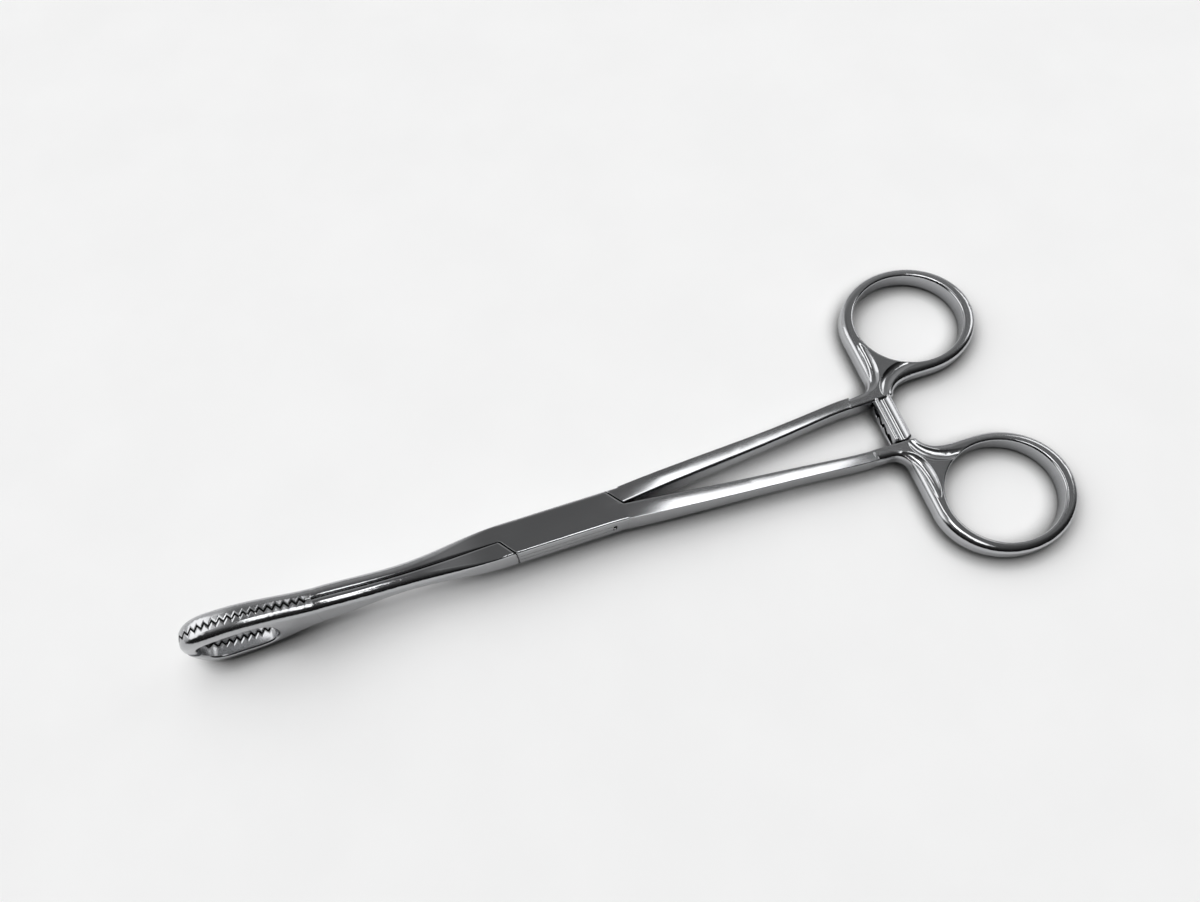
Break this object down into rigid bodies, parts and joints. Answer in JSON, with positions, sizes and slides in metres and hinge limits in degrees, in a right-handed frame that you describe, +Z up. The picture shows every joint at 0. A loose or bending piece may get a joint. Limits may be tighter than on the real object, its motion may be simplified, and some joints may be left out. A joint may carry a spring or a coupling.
{
  "type": "locking ring-handled forceps",
  "caption": "Polished steel ring-handled forceps with a box lock, a ratchet between the shanks and slotted oval jaws with serrated faces, lying shut",
  "frame": {"origin": "centre of the bounding box in plan, on the table surface it lies on", "axes": "+X runs from the jaws to the finger rings, +Y is the side of the handle with the hinged half's finger ring, +Z is up, away from the table"},
  "size_m": [0.1788, 0.07, 0.016],
  "materials": {
    "polished_steel": "polished stainless steel with a bright, slightly soft sheen"
  },
  "bodies": {
    "female": {"female_half": "polished_steel", "pivot_pin": "polished_steel"},
    "male": {"male_half": "polished_steel"}
  },
  "joints": [
    {"name": "box_lock", "type": "hinge", "parent": "female", "child": "male", "pos_m": [-0.01365, 0, 0.00569], "axis": [0.0351, 0, 0.9994], "range_deg": [0, 60]}
  ]
}
